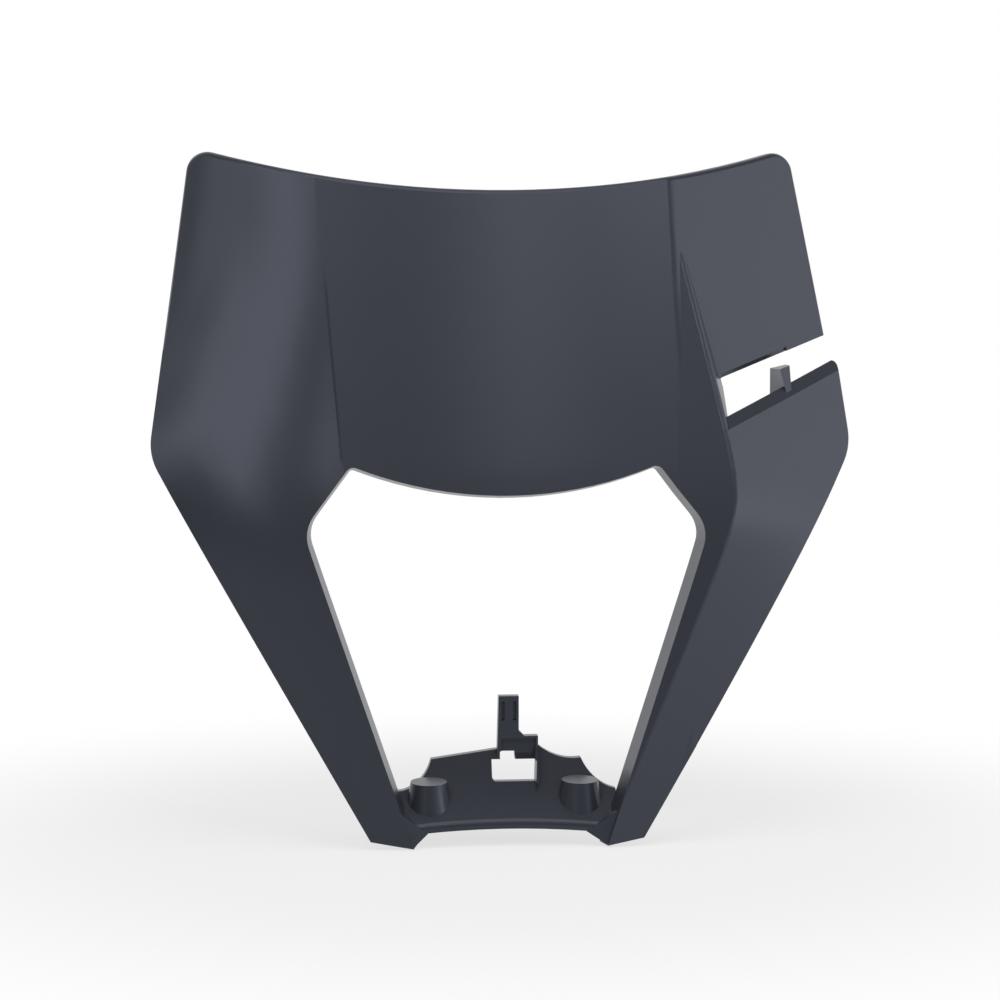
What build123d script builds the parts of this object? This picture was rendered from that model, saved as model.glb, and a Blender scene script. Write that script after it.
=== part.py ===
# Headlight cowl of an off-road motorbike, moulded in one piece.
# X runs to the viewer's right, Y back towards the rider, Z up. Millimetres and degrees.
# The origin lies midway between the mouths of the two locating sockets on the chin.
import os
from math import asin, cos, hypot, radians, sin, tan

from build123d import *

# Moulding
wall = 2.6
return_depth = 12.0
edge_radius = 2.4
touch = 0.01

# Centre line of the skin: the plate leans back above the fold, the legs stand below it
fold_height = 122.0
fold_y = -13.0
plate_lean = 18.0
leg_lean = 1.5
fold_softness = 15.0

# Centre panel between its two creases
panel_radius = 650.0
crease_height = 145.0
crease_half = 67.2
crease_flare_above = 0.080
crease_flare_below = 0.186
crease_softness = 10.0
crease_turn = 14.0
crease_fade_height = 232.0
leg_crease_turn = 6.0
leg_foot_height = -16.0

# Left cheek, one smooth bulge that runs on into the left leg
cheek_radius = 118.0
cheek_widening_above = -0.328
cheek_widening_below = -0.075
cheek_end_turn = 78.0

# Right wing, set back behind the ridge
wing_crease_x = 76.3
wing_crease_flare = -0.020
wing_crease_radius = 8.0
wing_turn = 31.0

# Right cheek: a flat inner face and a flat outer face that meet in a ridge
ridge_bend_height = 130.0
ridge_bend_x = 95.0
ridge_slope_above = -0.217
ridge_slope_below = 0.4175
ridge_softness = 14.5
ridge_rise_slope = 0.066
ridge_radius = 3.0
inner_face_turn = 10.0
outer_face_turn = 32.0
outer_face_foot_turn = 6.0

# Hose slot between the wing and the right cheek
slot_inner_x = 94.3
slot_inner_z = 159.6
slot_outer_x = 146.5
slot_outer_z = 180.9
slot_lip_slope = 42.0
slot_lip_depth = 3.1
wing_edge_inner_x = 93.7
wing_edge_inner_z = 179.9
wing_edge_outer_x = 144.4
wing_edge_outer_z = 196.7
wing_curl_end_x = 125.4
wing_curl_height = 1.8
wing_curl_depth = 1.6
step_draft = 15.0
step_nose = 1.2
step_edge_radius = 2.4
step_edge_gap = 0.1

# Outline seen from the front
top_centre_z = 259.0
top_corner_z = 278.0
top_corner_left_x = 129.6
top_corner_right_x = 131.0
top_corner_radius = 9.0
left_corner_x = 147.0
left_corner_z = 149.0
right_corner_x = 151.5
right_corner_z = 150.0
side_corner_radius = 22.0
lip_corner_x = 148.4
lip_corner_radius = 2.6
lip_corner_gap = 0.3
foot_outer_x = 56.8
foot_outer_z = -9.0
foot_tip_x = 37.0
foot_tip_z = -12.6

# Headlight opening
opening_top_z = 133.6
opening_corner_x = 64.5
opening_corner_z = 147.2
opening_corner_radius = 4.8
opening_side_x = 84.1
opening_side_z = 119.5
opening_side_radius = 15.0
opening_foot_left_x = 38.2
opening_foot_right_x = 40.2
opening_draft = 9.0

# Chin between the feet of the legs
chin_front_y = -13.0
chin_front_z = -1.9
chin_slope = 35.0
chin_bow = 3.3
chin_front_radius = 3.0
chin_hat_left_x = 29.6
chin_hat_right_x = 34.0
chin_hat_z = 19.3
chin_brow_x = 23.4
chin_brow_z = 20.2
chin_crown_z = 23.9
chin_crown_left_x = -1.6
chin_crown_left_z = 22.5
chin_crown_right_x = 16.2
chin_foot_half = 47.0
chin_foot_z = 8.6
chin_flare_radius = 17.0

# Gussets between the chin's front edge and the feet
gusset_chin_x = 33.0
gusset_chin_z = -6.4
gusset_top_z = 3.0
gusset_inset = 1.4

# Locating sockets, hollow cones on the chin
socket_half = 31.7
socket_top_z = 12.9
socket_top_radius = 7.6
socket_top_tilt = 4.0
socket_flare = 12.0
socket_bore_radius = 5.0

# Range adjuster guide on the chin: stepped window, ribbed post and block
window_left_x = -4.6
window_right_x = 13.5
window_bottom_z = 11.4
window_top_left_x = -4.0
window_top_right_x = 14.8
window_top_z = 19.0
window_corner_radius = 1.6
notch_left_x = -0.3
notch_right_x = 6.1
notch_top_z = 22.0
post_left_x = -0.8
post_right_x = 7.7
post_top_z = 45.7
post_flare = 0.9
post_front_y = 18.0
post_thickness = 5.0
post_rib_width = 3.6
post_groove_width = 1.4
post_groove_depth = 1.6
post_groove_top_gap = 2.2
post_groove_length = 8.2
guide_block_right_x = 15.9
guide_block_top_z = 28.6
guide_block_chamfer = 2.4
guide_recess_depth = 2.0
guide_recess_frame = 1.0
guide_rib_width = 1.2
guide_rib_height = 1.6

# Hose lug on the lip of the slot
lug_right_x = 125.2
lug_top_width = 3.8
lug_foot_width = 1.0
lug_back_width = 6.8
lug_depth = 20.0
lug_height = 7.2
lug_root = 6.0

# Lamp screw posts behind the panel
lamp_post_half = 50.0
lamp_post_z = 166.0
lamp_post_radius = 4.5
lamp_post_back_y = 22.0
lamp_hole_radius = 1.7
lamp_hole_depth = 12.0
lamp_web_reach = 9.0
lamp_web_thickness = 1.8

# Blocks that the skin is cut from
block_foot_z = -45.0
block_top_z = 310.0
block_back_y = 150.0
block_front_y = -60.0
block_reach = 110.0
level_count = 17


def soft_bend(run, slope_above, slope_below, softness):
    """Two straight slopes joined by a soft bend at run 0, where the value is 0."""
    middle = (slope_above + slope_below) / 2
    half = (slope_above - slope_below) / 2
    return middle * run + half * (hypot(run, softness) - softness)


def soft_slope(run, slope_above, slope_below, softness):
    middle = (slope_above + slope_below) / 2
    half = (slope_above - slope_below) / 2
    return middle + half * run / hypot(run, softness)


def lean_slopes():
    return tan(radians(plate_lean)), tan(radians(leg_lean))


def nose_y(z):
    return fold_y + soft_bend(z - fold_height, *lean_slopes(), fold_softness)


def level_wall(z, inset):
    """A wall square to the skin, measured level at height z."""
    return inset * hypot(1, soft_slope(z - fold_height, *lean_slopes(), fold_softness))


def crease_x(z):
    run = z - crease_height
    return crease_half + soft_bend(run, crease_flare_above, crease_flare_below, crease_softness)


def turn_at_crease(z):
    if z > crease_height:
        share = (crease_fade_height - z) / (crease_fade_height - crease_height)
        return crease_turn * max(0, share)
    share = (crease_height - z) / (crease_height - leg_foot_height)
    return crease_turn + (leg_crease_turn - crease_turn) * share


def left_radius(z):
    run = z - crease_height
    return cheek_radius + soft_bend(run, cheek_widening_above, cheek_widening_below, fold_softness)


def panel_point(x, z, inset=0.0):
    """Point of the centre panel, on an arc about a far centre behind it."""
    turn = asin(x / panel_radius)
    radius = panel_radius - inset
    return Vector(radius * sin(turn), nose_y(z) + panel_radius - radius * cos(turn), z)


def shifted_corner(corner, turn_before, turn_after, inset):
    """A profile corner moved in by the wall, where each side turns back by its angle from X."""
    middle = (turn_before + turn_after) / 2
    reach = inset / cos((turn_after - turn_before) / 2)
    return corner + Vector(-sin(middle), cos(middle)) * reach


def corner_arc(before, corner, after, radius):
    to_before = (before - corner).normalized()
    to_after = (after - corner).normalized()
    half = radians(to_before.get_angle(to_after)) / 2
    reach = radius / tan(half)
    middle = corner + (to_before + to_after).normalized() * (radius / sin(half) - radius)
    return ThreePointArc(corner + to_before * reach, middle, corner + to_after * reach)


def nearest_edge(solid, point):
    return solid.edges().sort_by_distance(point)[0]


def closed_behind(edges):
    """Close a front profile with straight sides and a straight back."""
    start = edges[0] @ 0
    end = edges[-1] @ 1
    back_right = Vector(end.X, block_back_y, end.Z)
    back_left = Vector(start.X, block_back_y, start.Z)
    sides = [Line(end, back_right), Line(back_right, back_left), Line(back_left, start)]
    return Wire(edges + sides)


def shield_profile(z, inset):
    """Left cheek, centre panel and right wing at height z."""
    skin = level_wall(z, inset)
    half = crease_x(z)
    panel_turn = asin(half / panel_radius)
    start_turn = panel_turn - radians(turn_at_crease(z))
    end_turn = radians(cheek_end_turn)
    radius = left_radius(z)
    crease = panel_point(-half, z)
    hub = crease + Vector(sin(start_turn), cos(start_turn)) * radius

    def cheek_point(turn):
        return hub - Vector(sin(turn), cos(turn)) * (radius - skin)

    crease_in = shifted_corner(crease, -panel_turn, -start_turn, skin)
    cheek = ThreePointArc(cheek_point(end_turn), cheek_point((start_turn + end_turn) / 2), crease_in)

    wing_x = wing_crease_x + wing_crease_flare * (z - crease_height)
    wing_start_turn = asin(wing_x / panel_radius)
    wing_end_turn = radians(wing_turn)
    corner = shifted_corner(panel_point(wing_x, z), wing_start_turn, wing_end_turn, skin)
    wing_end = corner + Vector(cos(wing_end_turn), sin(wing_end_turn)) * (block_reach + wing_x - half)
    panel_side = corner - Vector(cos(wing_start_turn), sin(wing_start_turn)) * half
    bend = corner_arc(panel_side, corner, wing_end, wing_crease_radius - skin)
    panel = ThreePointArc(crease_in, panel_point(0, z, skin), bend @ 0)
    return closed_behind([cheek, panel, bend, Line(bend @ 1, wing_end)])


def wing_face_point(x, z):
    wing_x = wing_crease_x + wing_crease_flare * (z - crease_height)
    corner = panel_point(wing_x, z)
    return Vector(x, corner.Y + (x - wing_x) * tan(radians(wing_turn)), z)


def ridge_point(z):
    run = z - ridge_bend_height
    x = ridge_bend_x + soft_bend(run, ridge_slope_above, ridge_slope_below, ridge_softness)
    rise = soft_bend(z - crease_height, ridge_rise_slope, 0, crease_softness)
    return Vector(x, nose_y(z) + rise, z)


def outer_turn(z):
    share = min(1, max(0, (fold_height - z) / (fold_height - leg_foot_height)))
    return radians(outer_face_turn + (outer_face_foot_turn - outer_face_turn) * share)


def cheek_profile(z, inset):
    """Inner and outer face of the right cheek and leg at height z."""
    skin = level_wall(z, inset)
    inner_turn = -radians(inner_face_turn)
    turn = outer_turn(z)
    corner = shifted_corner(ridge_point(z), inner_turn, turn, skin)
    inner_end = corner - Vector(cos(inner_turn), sin(inner_turn)) * (block_reach / 2)
    outer_end = corner + Vector(cos(turn), sin(turn)) * block_reach
    nose = corner_arc(inner_end, corner, outer_end, ridge_radius - skin)
    return closed_behind([Line(inner_end, nose @ 0), nose, Line(nose @ 1, outer_end)])


def cheek_face_point(x, z):
    ridge = ridge_point(z)
    return Vector(x, ridge.Y + (x - ridge.X) * tan(outer_turn(z)), z)


def step_profile(z, inset):
    """Air to the right of the step wall, which rounds over from the inner face and runs back to the wing."""
    ridge = ridge_point(z)
    draft = tan(radians(step_draft))
    fall = tan(radians(inner_face_turn))
    nose = step_nose - inset / cos(radians(step_draft))
    depth = (step_edge_gap - nose * fall) / (1 + draft * fall)
    corner = Vector(ridge.X + nose + depth * draft, ridge.Y + depth, z)
    edge = corner_arc(corner + Vector(-1, fall), corner, corner + Vector(draft, 1), step_edge_radius)
    back = corner + Vector(draft, 1) * (block_back_y - corner.Y)
    start = edge @ 0
    front = Vector(start.X, block_front_y, z)
    right_x = ridge.X + 2 * block_reach
    sides = Polyline(back, (right_x, block_back_y, z), (right_x, block_front_y, z), front, start)
    return Wire([edge, Line(edge @ 1, back)] + list(sides.edges()))


def block(profile, inset=0.0):
    """Solid behind a front surface, lofted through level profiles."""
    span = (block_top_z - block_foot_z) / (level_count - 1)
    levels = [block_foot_z + span * step for step in range(level_count)]
    return Solid.make_loft([profile(z, inset) for z in levels])


def front_prism(outline):
    """Front-view outline pushed through from front to back."""
    return extrude(Plane.XZ.offset(-block_back_y) * outline, block_back_y - block_front_y)


def rounded(outline, corners):
    """Round the named corners of a flat outline."""
    for x, z, radius in corners:
        outline = fillet(outline.vertices().sort_by_distance(Vector(x, z))[0], radius)
    return outline


def lip_slope():
    return (slot_outer_z - slot_inner_z) / (slot_outer_x - slot_inner_x)


def lip_front_z(x):
    return slot_inner_z + lip_slope() * (x - slot_inner_x)


def lip_back_z(x):
    """Back edge of the lip, where it meets the leaning face moved back by the lip's depth."""
    z = lip_front_z(x)
    lean = (cheek_face_point(x, z + touch).Y - cheek_face_point(x, z).Y) / touch
    rise = tan(radians(slot_lip_slope))
    return z + slot_lip_depth * rise / (1 - rise * lean)


def cowl_outline():
    top = ThreePointArc(
        (-top_corner_left_x, top_corner_z), (0, top_centre_z), (top_corner_right_x, top_corner_z)
    )
    slot_mouth_x = lip_corner_x - 4 * lip_corner_radius
    lip_corner_z = lip_back_z(lip_corner_x) + lip_corner_gap
    sides = Polyline(
        top @ 1,
        (wing_edge_outer_x, wing_edge_outer_z),
        (slot_mouth_x, lip_back_z(slot_mouth_x) + lip_corner_gap),
        (lip_corner_x, lip_corner_z),
        (right_corner_x, right_corner_z),
        (foot_outer_x, foot_outer_z),
        (foot_tip_x, foot_tip_z),
        (-foot_tip_x, foot_tip_z),
        (-foot_outer_x, foot_outer_z),
        (-left_corner_x, left_corner_z),
        top @ 0,
    )
    return rounded(
        make_face(top + sides),
        [
            (-top_corner_left_x, top_corner_z, top_corner_radius),
            (top_corner_right_x, top_corner_z, top_corner_radius),
            (-left_corner_x, left_corner_z, side_corner_radius),
            (right_corner_x, right_corner_z, side_corner_radius),
            (lip_corner_x, lip_corner_z, lip_corner_radius),
        ],
    )


def opening_edge_x(foot_x, z):
    """Straight side of the opening at height z, from where it meets the foot."""
    slope = (opening_side_x - foot_x) / (opening_side_z - foot_tip_z)
    return opening_side_x - slope * (opening_side_z - z)


def opening_outline():
    top = ThreePointArc(
        (-opening_corner_x, opening_corner_z), (0, opening_top_z), (opening_corner_x, opening_corner_z)
    )
    sides = Polyline(
        top @ 1,
        (opening_side_x, opening_side_z),
        (opening_edge_x(opening_foot_right_x, block_foot_z), block_foot_z),
        (-opening_edge_x(opening_foot_left_x, block_foot_z), block_foot_z),
        (-opening_side_x, opening_side_z),
        top @ 0,
    )
    return rounded(
        make_face(top + sides),
        [
            (-opening_corner_x, opening_corner_z, opening_corner_radius),
            (opening_corner_x, opening_corner_z, opening_corner_radius),
            (-opening_side_x, opening_side_z, opening_side_radius),
            (opening_side_x, opening_side_z, opening_side_radius),
        ],
    )


def opening_core(grow=0.0):
    """Headlight opening, narrowing to the back by its draft, grown outwards all round."""
    wires = []
    for y in (fold_y - return_depth, fold_y + 2 * return_depth):
        widening = grow + (fold_y - y) * tan(radians(opening_draft))
        outline = offset(opening_outline(), widening, kind=Kind.INTERSECTION)
        wires.append((Plane.XZ.offset(-y) * outline).face().outer_wire())
    return Solid.make_loft(wires, ruled=True)


def lip_plane(inset=0.0):
    """Top of the slot lip, moved down by the inset."""
    inner = cheek_face_point(slot_inner_x, slot_inner_z)
    along = cheek_face_point(slot_outer_x, slot_outer_z) - inner
    back_up = Vector(0, cos(radians(slot_lip_slope)), sin(radians(slot_lip_slope)))
    return Plane(inner, x_dir=along, z_dir=along.cross(back_up)).offset(-inset)


def above(plane):
    reach = block_top_z - block_foot_z
    return plane * Pos(0, 0, reach / 2) * Box(2 * reach, 2 * reach, reach)


def slot_air(inset=0.0):
    """Air over the slot lip, to the right of the step wall."""
    return block(step_profile, inset) & above(lip_plane(inset))


def below_wing():
    """Front-view region under the lower edge of the wing."""
    slope = (wing_edge_outer_z - wing_edge_inner_z) / (wing_edge_outer_x - wing_edge_inner_x)
    left = (wing_crease_x + slot_inner_x) / 2
    right = right_corner_x + block_reach
    left_z = wing_edge_inner_z + slope * (left - wing_edge_inner_x)
    right_z = wing_edge_inner_z + slope * (right - wing_edge_inner_x)
    return make_face(
        Polyline((left, left_z), (right, right_z), (right, block_foot_z), (left, block_foot_z), close=True)
    )


def lip_trim(cheek):
    """Air behind the back edge of the slot lip, under the wing."""
    thickness = 3 * wall
    slab = lip_plane(wall / 2) * Box(2 * block_top_z, 2 * block_top_z, thickness)
    air = slab & block(step_profile) & (Pos(0, slot_lip_depth, 0) * cheek)
    return air & front_prism(below_wing())


def top_rim(outline):
    """Ring under the top edge and round its two corners."""
    ring = front_prism(outline) - front_prism(offset(outline, -wall))
    return ring & above(Plane((0, 0, top_centre_z - return_depth)))


def wing_curl():
    """Bevel along the inner part of the wing's lower edge."""
    inner = wing_face_point(wing_edge_inner_x, wing_edge_inner_z)
    outer = wing_face_point(wing_edge_outer_x, wing_edge_outer_z)
    share = (wing_curl_end_x - wing_edge_inner_x) / (wing_edge_outer_x - wing_edge_inner_x)
    end = inner + (outer - inner) * share
    up = Vector(0, tan(radians(plate_lean)), 1) * wing_curl_height
    back = Vector(0, wing_curl_depth, 0)
    section = Polyline(end + up * 2 - back, end + back * 2 - up, end - (up + back) * 2, close=True)
    return extrude(make_face(section), (end - inner).length, dir=inner - end)


def hose_lug():
    """Fin behind the slot lip, narrow at its front foot, splayed to the back and rooted in the skin."""
    left_x = lug_right_x - lug_top_width
    foot_z = lip_back_z(left_x) - lug_root
    top_z = lip_back_z(left_x) + lug_height
    right_top_z = top_z + lip_slope() * lug_top_width
    front_y = cheek_face_point(left_x, lip_front_z(left_x)).Y
    wires = []
    for y, top_width, foot_width in (
        (front_y, lug_top_width, lug_foot_width),
        (front_y + lug_depth, lug_back_width, lug_back_width),
    ):
        corners = Polyline(
            (lug_right_x - top_width, y, top_z),
            (lug_right_x, y, right_top_z),
            (lug_right_x, y, foot_z),
            (lug_right_x - foot_width, y, foot_z),
            close=True,
        )
        wires.append(Wire(corners.edges()))
    return Solid.make_loft(wires, ruled=True) & Pos(0, wall / 2, 0) * block(cheek_profile)


def chin_plane():
    slope = radians(chin_slope)
    return Plane((0, chin_front_y, chin_front_z), x_dir=(1, 0, 0), z_dir=(0, -sin(slope), cos(slope)))


def chin_outline():
    """Front view of the chin: flared sides, then a low hat that steps up to the adjuster guide."""
    left_foot = (-chin_foot_half, chin_foot_z)
    right_foot = (chin_foot_half, chin_foot_z)
    left_hat = (-chin_hat_left_x, chin_hat_z)
    right_hat = (chin_hat_right_x, chin_hat_z)
    left_crown = (chin_crown_left_x, chin_crown_left_z)
    right_crown = (chin_crown_right_x, chin_crown_z)
    edges = [
        RadiusArc(left_foot, left_hat, -chin_flare_radius),
        Polyline(left_hat, left_crown, right_crown),
        ThreePointArc(right_crown, (chin_brow_x, chin_brow_z), right_hat),
        RadiusArc(right_hat, right_foot, -chin_flare_radius),
        Polyline(right_foot, (chin_foot_half, block_foot_z), (-chin_foot_half, block_foot_z), left_foot),
    ]
    return make_face(Curve() + edges)


def chin_plan():
    """Plan of the chin, with a front edge that bows back in the middle."""
    side_y = chin_front_y - chin_bow
    front = ThreePointArc((-chin_foot_half, side_y), (0, chin_front_y), (chin_foot_half, side_y))
    back = Polyline(front @ 1, (chin_foot_half, block_back_y), (-chin_foot_half, block_back_y), front @ 0)
    return Pos(0, 0, block_foot_z) * extrude(make_face(front + back), block_top_z - block_foot_z)


def chin_plate():
    reach = 2 * block_back_y
    slab = chin_plane() * Pos(0, 0, -wall / 2) * Box(reach, reach, wall)
    plate = slab & front_prism(chin_outline()) & chin_plan()
    return fillet(nearest_edge(plate, Vector(0, chin_front_y, chin_front_z)), chin_front_radius)


def adjuster_window():
    opening = make_face(
        Polyline(
            (window_left_x, window_bottom_z),
            (window_right_x, window_bottom_z),
            (window_top_right_x, window_top_z),
            (notch_right_x, window_top_z),
            (notch_right_x, notch_top_z),
            (notch_left_x, notch_top_z),
            (notch_left_x, window_top_z),
            (window_top_left_x, window_top_z),
            close=True,
        )
    )
    return front_prism(rounded(opening, [(window_left_x, window_bottom_z, window_corner_radius)]))


def guide_tower():
    """Post and low block in one wall, set back below the post."""
    tower = make_face(
        Polyline(
            (post_left_x - post_flare, window_bottom_z),
            (post_left_x, post_top_z),
            (post_right_x, post_top_z),
            (post_right_x, guide_block_top_z + guide_block_chamfer),
            (post_right_x + guide_block_chamfer, guide_block_top_z),
            (guide_block_right_x, guide_block_top_z),
            (guide_block_right_x, window_bottom_z),
            close=True,
        )
    )
    recess_left = post_left_x + guide_recess_frame
    recess_right = guide_block_right_x - guide_recess_frame
    recess_top = guide_block_top_z - guide_recess_frame
    recess = make_face(
        Polyline(
            (recess_left, window_bottom_z),
            (recess_left, recess_top),
            (recess_right, recess_top),
            (recess_right, window_bottom_z),
            close=True,
        )
    )
    solid = extrude(Plane.XZ.offset(-post_front_y - post_thickness) * tower, post_thickness)
    return solid - extrude(Plane.XZ.offset(-post_front_y - guide_recess_depth) * recess, post_thickness)


def post_groove(side):
    """Groove beside the rib on the front of the post."""
    x = (post_left_x + post_right_x + side * (post_rib_width + post_groove_width)) / 2
    z = post_top_z - post_groove_top_gap - post_groove_length / 2
    return Pos(x, post_front_y, z) * Box(post_groove_width, 2 * post_groove_depth, post_groove_length)


def guide_rib():
    """Low rib on the chin that runs forward from the block, beside the window."""
    foot_x = guide_block_right_x - (window_top_right_x - window_right_x)
    strip = make_face(
        Polyline(
            (guide_block_right_x - guide_rib_width, chin_crown_z),
            (guide_block_right_x, chin_crown_z),
            (foot_x, window_bottom_z),
            (foot_x - guide_rib_width, window_bottom_z),
            close=True,
        )
    )
    reach = 2 * block_back_y
    layer = Pos(0, 0, guide_rib_height / 2) * Box(reach, reach, guide_rib_height + wall)
    return front_prism(strip) & chin_plane() * layer


def adjuster_guide():
    guide = guide_tower() - [post_groove(side) for side in (-1, 1)] + guide_rib()
    return guide & above(chin_plane().offset(-wall / 2))


def socket_cone(side):
    """Cone with its top tilted to the front."""
    tilt = radians(socket_top_tilt)
    flare = tan(radians(socket_flare))
    height = socket_top_z + 2 * socket_top_radius * tan(tilt)
    base_radius = socket_top_radius + socket_top_z * flare
    cone = Pos(0, 0, height / 2) * Cone(base_radius, base_radius - height * flare, height)
    roof = Plane((0, 0, socket_top_z), x_dir=(1, 0, 0), z_dir=(0, -sin(tilt), cos(tilt)))
    return Pos(side * socket_half, 0, 0) * (cone - above(roof))


def socket_bore(side):
    """Blind bore, closed by a roof as thick as the wall."""
    depth = socket_top_z - wall
    length = depth - block_foot_z
    return Pos(side * socket_half, 0, depth - length / 2) * Cylinder(socket_bore_radius, length)


def lamp_post(side):
    """Screw post behind the panel, with a web on four sides."""
    length = lamp_post_back_y - fold_y
    axis = Location((side * lamp_post_half, lamp_post_back_y - length / 2, lamp_post_z), (90, 0, 0))
    webs = [Rot(0, 0, turn) * Box(2 * lamp_web_reach, lamp_web_thickness, length) for turn in (0, 90)]
    taper = Cone(lamp_web_reach, lamp_post_radius, length)
    return axis * (Cylinder(lamp_post_radius, length) + [web & taper for web in webs])


def lamp_hole(side):
    middle_y = lamp_post_back_y - lamp_hole_depth / 2
    middle = Location((side * lamp_post_half, middle_y, lamp_post_z), (90, 0, 0))
    return middle * Cylinder(lamp_hole_radius, lamp_hole_depth)


def foot_gusset(side, opening_foot_x):
    """Three-cornered web from the chin's front edge to the tip of the foot and the leg's inner edge."""
    foot_x = opening_foot_x + wall / 2
    foot_slope = (foot_outer_z - foot_tip_z) / (foot_outer_x - foot_tip_x)
    foot_z = foot_tip_z + foot_slope * (foot_x - foot_tip_x)
    top_x = opening_edge_x(opening_foot_x, gusset_top_z) + wall / 2
    chin_y = chin_front_y - chin_bow * (gusset_chin_x / chin_foot_half) ** 2
    corners = Polyline(
        (side * gusset_chin_x, chin_y, gusset_chin_z),
        (side * foot_x, nose_y(foot_z) + gusset_inset, foot_z),
        (side * top_x, nose_y(gusset_top_z) + gusset_inset, gusset_top_z),
        close=True,
    )
    return extrude(make_face(corners), 2 * wall, dir=(0, 1, 0))


def outline_edges(solid, outline, foot_z):
    """Front edges above a level that follow the outline."""
    border = outline.face().outer_wire()

    def follows(edge):
        middle = edge @ 0.5
        runs_back = abs(edge.tangent_at(0.5).Y) > 1 - touch
        on_border = border.distance_to(Vector(middle.X, middle.Z)) < touch
        in_front = middle.Y < block_back_y - wall
        return on_border and in_front and not runs_back and middle.Z > foot_z + touch

    return solid.edges().filter_by(follows)


def with_rounded_top(solid, outline):
    """Round the front edge along the top and down to the lower corner of the wing."""
    foot_z = wing_edge_outer_z - 2 * edge_radius
    upper = above(Plane((0, 0, foot_z)))
    top = solid & upper
    return fillet(outline_edges(top, outline, foot_z), edge_radius) + (solid - upper)


def moulded_shell():
    """Skin, slot, opening and returns: a rounded block with the hollow behind it taken out."""
    outline = cowl_outline()
    cheek = block(cheek_profile)
    outer = (block(shield_profile) - front_prism(below_wing())) + (cheek - slot_air())
    inner = block(shield_profile, wall) + (block(cheek_profile, wall) - slot_air(wall))
    core = opening_core()
    rims = [opening_core(wall) - core, top_rim(outline)]

    solid = with_rounded_top(outer & front_prism(outline), outline) - wing_curl()
    hollow = (inner - rims) + Pos(0, return_depth, 0) * outer
    return solid - core - hollow - lip_trim(cheek)


def chin():
    plate = chin_plate() + adjuster_guide() - adjuster_window()
    gussets = [foot_gusset(-1, opening_foot_left_x), foot_gusset(1, opening_foot_right_x)]
    return plate + gussets + [socket_cone(side) for side in (-1, 1)]


def headlight_cowl():
    shell = moulded_shell()
    behind_skin = block(shield_profile, wall)
    posts = [lamp_post(side) & behind_skin for side in (-1, 1)]
    holes = [socket_bore(side) for side in (-1, 1)] + [lamp_hole(side) for side in (-1, 1)]
    return shell + chin() + hose_lug() + posts - holes


os.makedirs("parts", exist_ok=True)
export_step(headlight_cowl(), "parts/headlight_cowl.step")
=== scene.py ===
import math

import bpy
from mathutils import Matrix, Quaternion, Vector


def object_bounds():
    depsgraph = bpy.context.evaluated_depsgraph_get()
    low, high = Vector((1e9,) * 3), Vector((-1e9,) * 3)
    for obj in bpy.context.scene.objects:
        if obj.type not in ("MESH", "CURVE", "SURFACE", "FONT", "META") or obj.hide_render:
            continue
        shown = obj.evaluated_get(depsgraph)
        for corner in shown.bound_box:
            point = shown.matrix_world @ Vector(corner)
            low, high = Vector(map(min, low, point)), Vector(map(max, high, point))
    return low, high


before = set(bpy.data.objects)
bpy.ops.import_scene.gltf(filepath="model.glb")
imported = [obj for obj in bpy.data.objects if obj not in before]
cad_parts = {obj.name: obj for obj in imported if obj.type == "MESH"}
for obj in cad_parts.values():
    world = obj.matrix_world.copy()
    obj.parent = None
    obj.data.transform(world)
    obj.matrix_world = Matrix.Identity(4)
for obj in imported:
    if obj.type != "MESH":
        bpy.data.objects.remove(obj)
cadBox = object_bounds()
print("frame loaded:", ", ".join(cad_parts))


# one socket of a node tree: sums on it add Math nodes
class Sock:
    def __init__(self, finish, socket):
        self.finish = finish
        self.socket = socket

    def sum(self, operation, first, second):
        return self.finish.node("ShaderNodeMath", {"operation": operation}, {0: first, 1: second})

    def __add__(self, other):
        return self.sum("ADD", self, other)

    def __radd__(self, other):
        return self.sum("ADD", other, self)

    def __sub__(self, other):
        return self.sum("SUBTRACT", self, other)

    def __rsub__(self, other):
        return self.sum("SUBTRACT", other, self)

    def __mul__(self, other):
        return self.sum("MULTIPLY", self, other)


# a material, or the world, as a tree that nodes are added to
class Finish:
    def __init__(self, owner):
        owner.use_nodes = True
        self.tree = owner.node_tree
        self.tree.nodes.clear()

    def node(self, kind, settings=None, inputs=None, output=0):
        made = self.tree.nodes.new(kind)
        for name, value in (settings or {}).items():
            setattr(made, name, value)
        for name, value in (inputs or {}).items():
            if isinstance(value, Sock):
                self.tree.links.new(value.socket, made.inputs[name])
            else:
                made.inputs[name].default_value = value
        return Sock(self, made.outputs[output]) if made.outputs else None

    # colour mix: sockets 6, 7 and 2 are its two colours and its result
    def blend(self, share, first, second):
        inputs = {"Factor": share, 6: first, 7: second}
        return self.node("ShaderNodeMix", {"data_type": "RGBA"}, inputs, output=2)

    # soft rise from low to 1 between two values
    def ramp(self, value, start, end, low=0.0):
        return self.node(
            "ShaderNodeMapRange",
            {"interpolation_type": "SMOOTHSTEP"},
            {"Value": value, "From Min": start, "From Max": end, "To Min": low},
        )


# moulded plastic: dark blue-grey, satin, with the fine grain of a blasted mould
plastic = {
    "colour": (0.033, 0.0365, 0.045, 1.0),
    "flowColour": (0.037, 0.041, 0.0505, 1.0),  # slightly paler where the melt flowed
    "flowScale": 9.0,
    "flowDetail": 3.0,
    "roughness": 0.3,
    "roughnessSpread": 0.04,
    "grainScale": 900.0,
    "grainDetail": 0.0,
    "grainDepth": 0.00002,
    "grainStrength": 0.1,
    "specular": 0.58,
    "sheen": (0.76, 0.79, 1.0, 1.0),  # the blue cast of the shine
}

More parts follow.
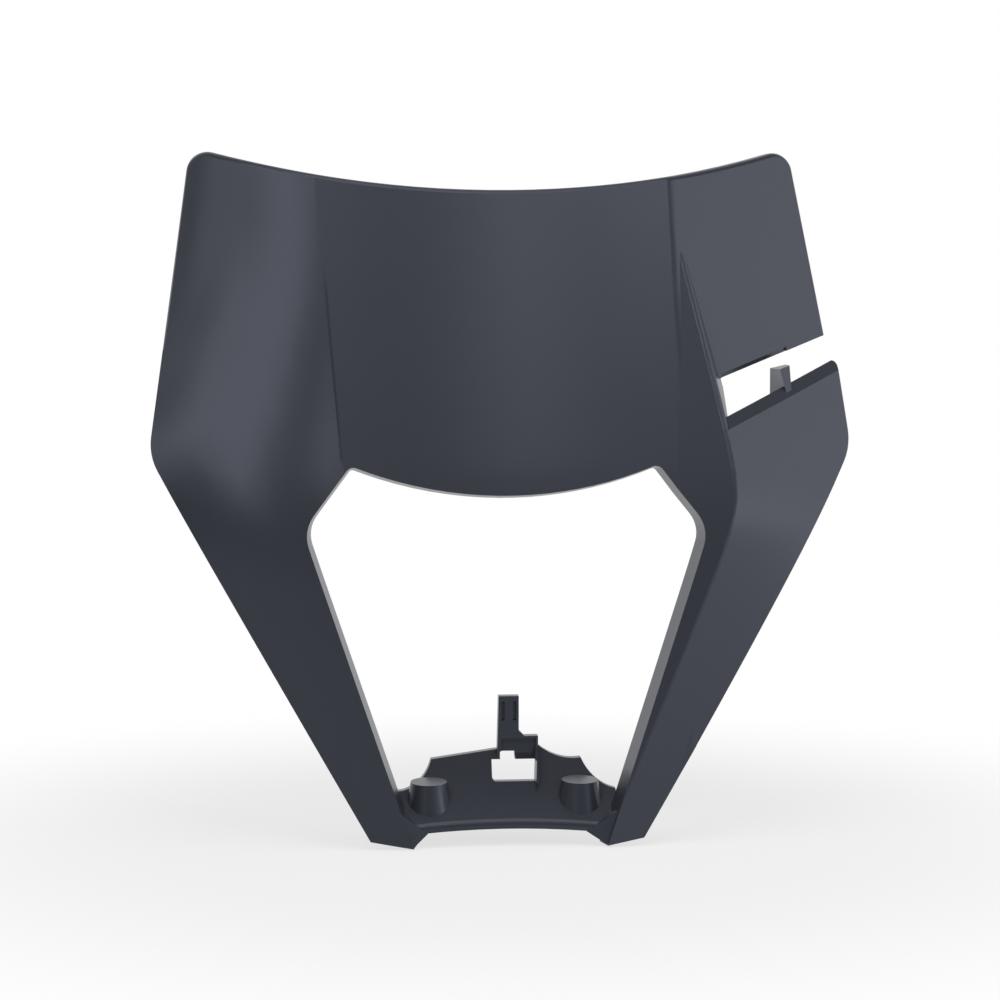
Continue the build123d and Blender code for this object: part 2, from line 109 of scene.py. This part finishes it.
# painted shade: a thin dark line painted into the base colour along the left crease, where the solid
# only changes slope
paintedCreaseShade = {
    "colour": (0.014, 0.0155, 0.019, 1.0),
    "across": -0.05677,  # x at height 0, and its change with height
    "slope": -0.07463,
    "core": 0.0001,
    "edge": 0.0009,
    "low": 0.1455,
    "lowFull": 0.149,
    "highFull": 0.214,
    "high": 0.229,
    "front": -0.3,  # the normal's Y: the front has it, the back of the wall doesn't
    "side": -0.1,
}


# mask of the painted crease shade: near the crease line, between its two heights, on front-facing faces
# only
def paintedCreaseShadeMask(finish, place):
    across = finish.node("ShaderNodeSeparateXYZ", {}, {"Vector": place}, output="X")
    height = finish.node("ShaderNodeSeparateXYZ", {}, {"Vector": place}, output="Z")
    normal = finish.node("ShaderNodeTexCoord", output="Normal")
    facing = finish.node("ShaderNodeSeparateXYZ", {}, {"Vector": normal}, output="Y")
    offset = across - height * paintedCreaseShade["slope"] - paintedCreaseShade["across"]
    away = finish.node("ShaderNodeMath", {"operation": "ABSOLUTE"}, {0: offset})

    near = 1.0 - finish.ramp(away, paintedCreaseShade["core"], paintedCreaseShade["edge"])
    above = finish.ramp(height, paintedCreaseShade["low"], paintedCreaseShade["lowFull"])
    below = 1.0 - finish.ramp(height, paintedCreaseShade["highFull"], paintedCreaseShade["high"])
    front = 1.0 - finish.ramp(facing, paintedCreaseShade["front"], paintedCreaseShade["side"])
    return near * above * below * front


def mouldedPlastic():
    material = bpy.data.materials.new("mouldedPlastic")
    finish = Finish(material)
    place = finish.node("ShaderNodeTexCoord", output="Object")
    flow = finish.node(
        "ShaderNodeTexNoise",
        {},
        {"Vector": place, "Scale": plastic["flowScale"], "Detail": plastic["flowDetail"]},
    )
    grain = finish.node(
        "ShaderNodeTexNoise",
        {},
        {"Vector": place, "Scale": plastic["grainScale"], "Detail": plastic["grainDetail"]},
    )
    clouded = finish.blend(flow, plastic["colour"], plastic["flowColour"])
    # the painted crease shade darkens the base colour here
    colour = finish.blend(paintedCreaseShadeMask(finish, place), clouded, paintedCreaseShade["colour"])
    roughness = plastic["roughness"] + (flow - 0.5) * plastic["roughnessSpread"]
    bump = finish.node(
        "ShaderNodeBump",
        {},
        {"Height": grain, "Strength": plastic["grainStrength"], "Distance": plastic["grainDepth"]},
    )
    surface = finish.node(
        "ShaderNodeBsdfPrincipled",
        {},
        {
            "Base Color": colour,
            "Roughness": roughness,
            "Normal": bump,
            "Specular IOR Level": plastic["specular"],
            "Specular Tint": plastic["sheen"],
        },
    )
    finish.node("ShaderNodeOutputMaterial", {}, {"Surface": surface})
    return material


def dressCowl():
    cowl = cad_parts["headlight_cowl"]
    cowl.data.materials.clear()
    cowl.data.materials.append(mouldedPlastic())
    print("cowl dressed in moulded plastic")


# floor: pale, takes the shadow near the cowl and runs out to plain white
floor = {
    "size": 8.0,
    "colour": (0.86, 0.86, 0.87, 1.0),
    "white": (1.0, 1.0, 1.0, 1.0),
    "fill": 0.7,  # share of plain white near the cowl
    "fillStart": 0.12,
    "fillEnd": 0.38,
    "sweepStart": -0.05,  # the white sweep that reflections see lies behind the cowl
    "sweepEnd": 0.25,
    "sideTurn": 0.45,  # and on its right, up to a line that runs back to the left
    "sideStart": -0.06,
    "sideEnd": 0.06,
}


def paleFloor():
    bpy.ops.mesh.primitive_plane_add(size=floor["size"], location=(0, 0, cadBox[0].z))
    ground = bpy.context.object
    ground.name = "floor"
    material = bpy.data.materials.new("paleFloor")
    finish = Finish(material)
    camera = finish.node("ShaderNodeLightPath", output="Is Camera Ray")
    glossy = finish.node("ShaderNodeLightPath", output="Is Glossy Ray")
    passing = finish.node("ShaderNodeLightPath", output="Is Transmission Ray")
    place = finish.node("ShaderNodeNewGeometry", output="Position")
    across = finish.node("ShaderNodeSeparateXYZ", {}, {"Vector": place}, output="X")
    back = finish.node("ShaderNodeSeparateXYZ", {}, {"Vector": place}, output="Y")
    behind = finish.ramp(back, floor["sweepStart"], floor["sweepEnd"])
    beside = finish.ramp(across + back * floor["sideTurn"], floor["sideStart"], floor["sideEnd"])
    sweep = finish.node("ShaderNodeClamp", {}, {"Value": behind + beside})
    shown = finish.node("ShaderNodeClamp", {}, {"Value": camera + passing + glossy * sweep})
    distance = finish.node("ShaderNodeVectorMath", {"operation": "LENGTH"}, {0: place}, output="Value")
    far = finish.ramp(distance, floor["fillStart"], floor["fillEnd"], floor["fill"])
    lit = finish.node("ShaderNodeBsdfDiffuse", {}, {"Color": floor["colour"]})
    plainWhite = finish.node("ShaderNodeEmission", {}, {"Color": floor["white"]})
    mixed = finish.node("ShaderNodeMixShader", {}, {0: shown * far, 1: lit, 2: plainWhite})
    finish.node("ShaderNodeOutputMaterial", {}, {"Surface": mixed})
    ground.data.materials.append(material)
    print("floor laid")


# studio: soft boxes aimed at the middle of the plate, in a dim room with a white wall behind
studio = {
    "aim": (0.0, 0.02, 0.15),
    "room": (0.2, 0.2, 0.21, 1.0),
    "wall": (1.0, 1.0, 1.0, 1.0),
    "wallStart": 0.2,  # share of the way back at which the white wall begins, and is full
    "wallEnd": 0.6,
    "boxes": [
        # name, azimuth, elevation, roll, distance, width, height, power
        ("overhead", 0.0, 71.0, 0.0, 1.4, 0.9, 1.0, 4.0),
        ("rightBox", 77.0, 16.0, 0.0, 1.5, 1.3, 1.15, 6.5),
        ("rightLow", 50.0, 2.0, 0.0, 0.7, 0.6, 0.2, 0.25),
        ("leftBox", -45.5, 43.0, -22.0, 1.6, 1.15, 0.8, 5.2),
        ("leftLow", -29.0, 22.0, 0.0, 1.6, 0.34, 0.5, 0.75),
        ("leftSide", -78.0, 27.0, 0.0, 1.5, 0.8, 0.4, 1.15),
        ("frontStrip", 8.5, 40.0, 0.0, 1.9, 0.12, 0.8, 1.4),
        ("frontStripRight", 27.0, 43.0, 0.0, 1.9, 0.12, 0.5, 1.75),
    ],
}


def softBoxes():
    aim = Vector(studio["aim"])
    for name, azimuth, elevation, roll, distance, width, height, power in studio["boxes"]:
        turn = math.radians(azimuth)
        rise = math.radians(elevation)
        out = Vector((math.sin(turn) * math.cos(rise), -math.cos(turn) * math.cos(rise), math.sin(rise)))
        lamp = bpy.data.lights.new(name, "AREA")
        lamp.shape = "RECTANGLE"
        lamp.size = width
        lamp.size_y = height
        lamp.energy = power
        box = bpy.data.objects.new(name, lamp)
        bpy.context.scene.collection.objects.link(box)
        box.location = aim + out * distance
        spin = Quaternion((0.0, 0.0, 1.0), math.radians(roll))
        box.rotation_euler = ((-out).to_track_quat("-Z", "Y") @ spin).to_euler()
        box.visible_camera = False
    print("soft boxes:", len(studio["boxes"]))


def room():
    world = bpy.data.worlds.new("room")
    bpy.context.scene.world = world
    finish = Finish(world)
    camera = finish.node("ShaderNodeLightPath", output="Is Camera Ray")
    glossy = finish.node("ShaderNodeLightPath", output="Is Glossy Ray")
    passing = finish.node("ShaderNodeLightPath", output="Is Transmission Ray")
    way = finish.node("ShaderNodeTexCoord", output="Generated")
    back = finish.node("ShaderNodeSeparateXYZ", {}, {"Vector": way}, output="Y")
    behind = finish.ramp(back, studio["wallStart"], studio["wallEnd"])
    shown = finish.node("ShaderNodeClamp", {}, {"Value": camera + passing + glossy * behind})
    even = finish.node("ShaderNodeBackground", {}, {"Color": studio["room"]})
    white = finish.node("ShaderNodeBackground", {}, {"Color": studio["wall"]})
    mixed = finish.node("ShaderNodeMixShader", {}, {0: shown, 1: even, 2: white})
    finish.node("ShaderNodeOutputWorld", {}, {"Surface": mixed})
    print("room lit")


# camera: a little to the left and above, with a long lens
view = {
    "azimuth": -5.0,
    "elevation": 5.0,
    "distance": 1.3,
    "lens": 112.2,
    "aim": (-0.00125, 0.0070, 0.130),
}


def photoCamera():
    turn = math.radians(view["azimuth"])
    rise = math.radians(view["elevation"])
    back = Vector((math.sin(turn) * math.cos(rise), -math.cos(turn) * math.cos(rise), math.sin(rise)))
    lens = bpy.data.cameras.new("photoCamera")
    lens.lens = view["lens"]
    camera = bpy.data.objects.new("photoCamera", lens)
    bpy.context.scene.collection.objects.link(camera)
    camera.location = Vector(view["aim"]) + back * view["distance"]
    camera.rotation_euler = (-back).to_track_quat("-Z", "Y").to_euler()
    bpy.context.scene.camera = camera
    print("camera set")


dressCowl()
paleFloor()
softBoxes()
room()
photoCamera()
bpy.context.scene.view_settings.view_transform = "Standard"
